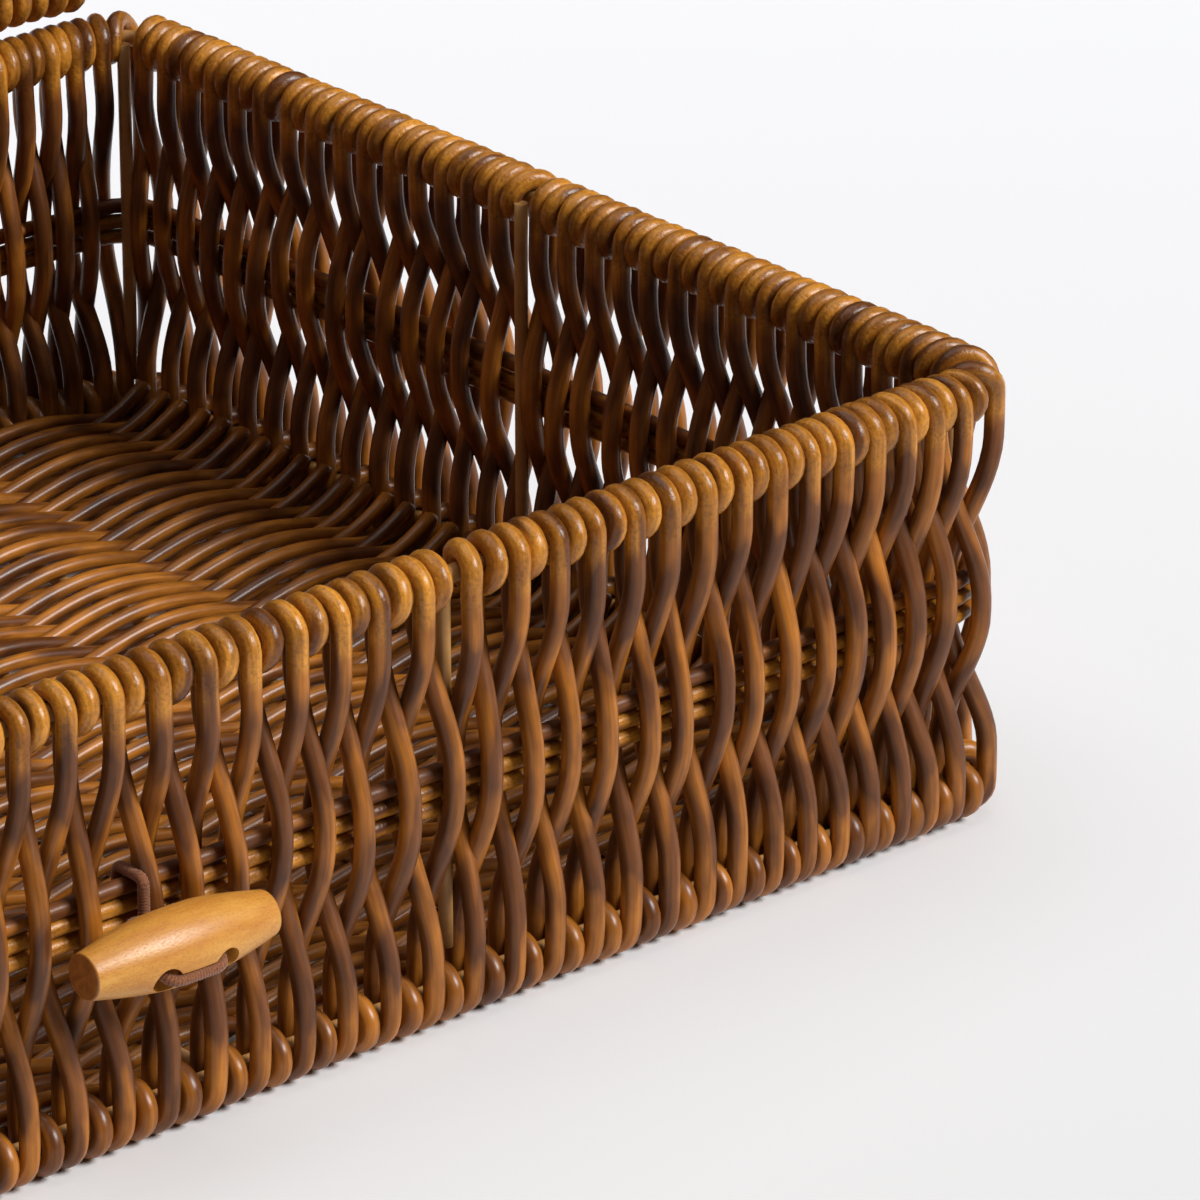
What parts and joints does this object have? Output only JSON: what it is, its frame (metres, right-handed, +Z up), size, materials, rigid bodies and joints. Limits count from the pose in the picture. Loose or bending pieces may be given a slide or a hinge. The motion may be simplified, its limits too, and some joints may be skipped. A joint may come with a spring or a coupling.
{
  "type": "lidded woven basket",
  "caption": "Low rectangular basket of woven round strands on a painted wire frame, with a flat woven lid tied to the back rail and a wooden toggle on the front wall.",
  "frame": {"origin": "middle of the whole object's footprint, lid open, on the surface that it stands on", "axes": "+X along the front wall, +Y to the back where the lid is hinged, +Z up"},
  "size_m": [0.4666, 0.3512, 0.3995],
  "materials": {
    "strand": "satin two-tone brown and honey synthetic rattan",
    "frame_wire": "pale tan paint",
    "toggle_wood": "clear varnish",
    "elastic": "ribbed covering"
  },
  "bodies": {
    "basket": {"bottom_rail": "frame_wire", "top_rail": "frame_wire", "mid_band_1": "strand", "mid_band_2": "strand", "mid_band_3": "strand", "corner_post_1": "frame_wire", "corner_post_2": "frame_wire", "corner_post_3": "frame_wire", "corner_post_4": "frame_wire", "front_upright_left": "frame_wire", "back_upright_left": "frame_wire", "side_upright_left": "frame_wire", "front_upright_right": "frame_wire", "back_upright_right": "frame_wire", "side_upright_right": "frame_wire", "floor_rib_1": "frame_wire", "floor_rib_2": "frame_wire", "floor_rib_3": "frame_wire", "floor_rib_4": "frame_wire", "floor_rib_5": "frame_wire", "floor_rib_6": "frame_wire", "floor_rib_7": "frame_wire", "floor_rib_8": "frame_wire", "floor_rib_9": "frame_wire", "floor_rib_10": "frame_wire", "front_wall_strand": "strand", "right_wall_strand": "strand", "back_wall_strand": "strand", "left_wall_strand": "strand", "corner_strand_1": "strand", "corner_strand_2": "strand", "corner_strand_3": "strand", "corner_strand_4": "strand", "floor_strand": "strand", "hinge_tie_left": "strand", "hinge_tie_right": "strand", "toggle_anchor_loop": "elastic"},
    "lid": {"lid_frame": "frame_wire", "lid_rod_1": "frame_wire", "lid_rod_2": "frame_wire", "lid_rod_3": "frame_wire", "lid_rod_4": "frame_wire", "lid_rod_5": "frame_wire", "lid_strand": "strand"},
    "toggle": {"toggle_bar": "toggle_wood", "toggle_cord": "elastic"}
  },
  "joints": [
    {"name": "lid_hinge", "type": "hinge", "parent": "basket", "child": "lid", "pos_m": [0, 0.131, 0.10988], "axis": [1, 0, 0], "range_deg": [0, 97.5]},
    {"name": "toggle_swivel", "type": "hinge", "parent": "basket", "child": "toggle", "pos_m": [0, -0.16877, 0.0465], "axis": [0, 1, 0], "range_deg": [-90, 90]}
  ]
}
